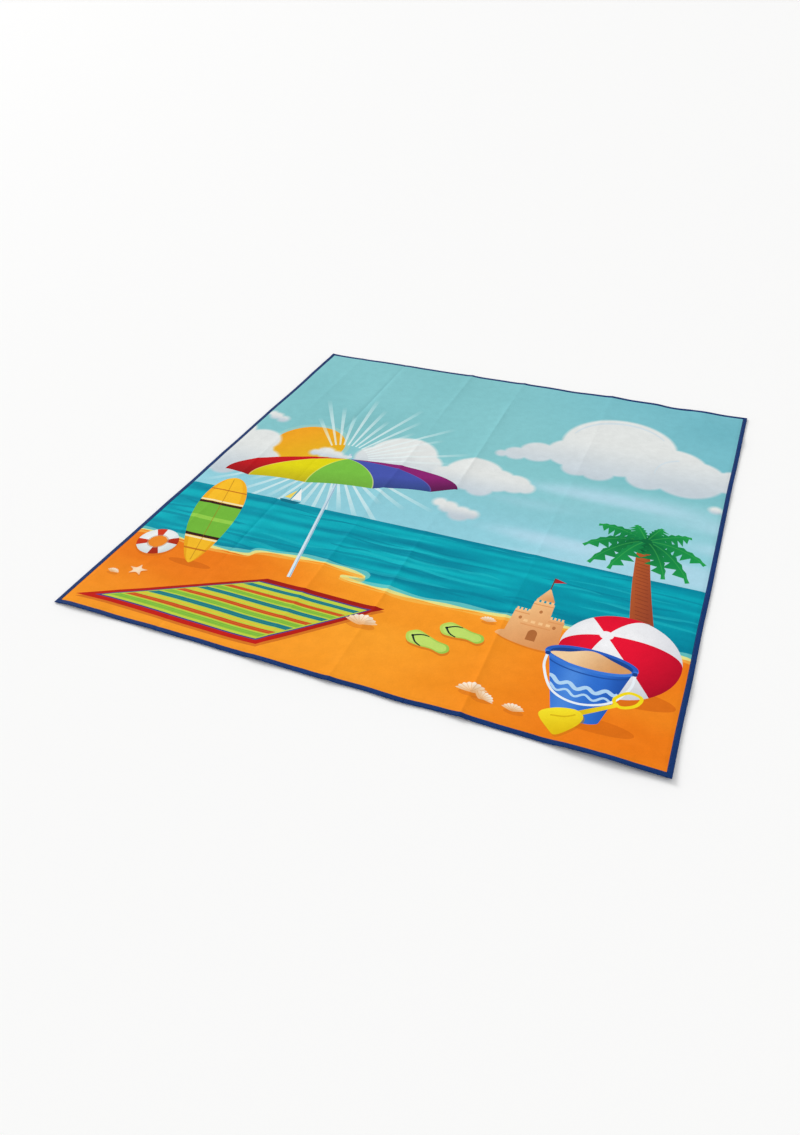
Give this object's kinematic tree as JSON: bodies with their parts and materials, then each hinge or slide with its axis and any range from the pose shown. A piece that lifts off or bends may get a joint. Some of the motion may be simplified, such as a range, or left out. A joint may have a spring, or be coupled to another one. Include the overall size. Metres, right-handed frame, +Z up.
{
  "type": "padded camp blanket",
  "caption": "Nearly square, thinly padded ground blanket with a printed cover, waterproof backing and bound edge; folds in from both sides and closes at the centre.",
  "frame": {"origin": "on the ground under the centre of the blanket laid flat", "axes": "+X to the right across the print, +Y towards the far edge at the top of the print, +Z up"},
  "size_m": [1.46, 1.53, 0.004],
  "materials": {
    "printed_cover": "printed polyester cloth, matt with a faint sheen; beach scene in blue, teal and orange",
    "padding": "soft white polyester wadding",
    "backing": "coated waterproof cloth, plain navy, satin",
    "edge_tape": "woven blue edge tape, matt",
    "thread": "polyester sewing thread",
    "care_label": "blank woven satin tab"
  },
  "bodies": {
    "left_inner_panel": {"left_inner_cover": "printed_cover", "left_inner_padding": "padding", "left_inner_backing": "backing", "left_inner_near_binding": "edge_tape", "left_inner_far_binding": "edge_tape", "left_inner_stitching": "thread"},
    "left_outer_panel": {"left_outer_cover": "printed_cover", "left_outer_padding": "padding", "left_outer_backing": "backing", "left_outer_near_binding": "edge_tape", "left_outer_far_binding": "edge_tape", "left_outer_stitching": "thread", "left_side_binding": "edge_tape"},
    "right_inner_panel": {"right_inner_cover": "printed_cover", "right_inner_padding": "padding", "right_inner_backing": "backing", "right_inner_near_binding": "edge_tape", "right_inner_far_binding": "edge_tape", "right_inner_stitching": "thread"},
    "right_outer_panel": {"right_outer_cover": "printed_cover", "right_outer_padding": "padding", "right_outer_backing": "backing", "right_outer_near_binding": "edge_tape", "right_outer_far_binding": "edge_tape", "right_outer_stitching": "thread", "right_side_binding": "edge_tape", "care_label": "care_label"}
  },
  "joints": [
    {"name": "left_flap_fold", "type": "hinge", "parent": "left_inner_panel", "child": "left_outer_panel", "pos_m": [-0.367, 0, 0.01], "axis": [0, 1, 0], "range_deg": [0, 179.9]},
    {"name": "centre_fold", "type": "hinge", "parent": "left_inner_panel", "child": "right_inner_panel", "pos_m": [0, 0, 0.0225], "axis": [0, -1, 0], "range_deg": [0, 179.9]},
    {"name": "right_flap_fold", "type": "hinge", "parent": "right_inner_panel", "child": "right_outer_panel", "pos_m": [0.367, 0, 0.01], "axis": [0, -1, 0], "range_deg": [0, 179.9]}
  ]
}
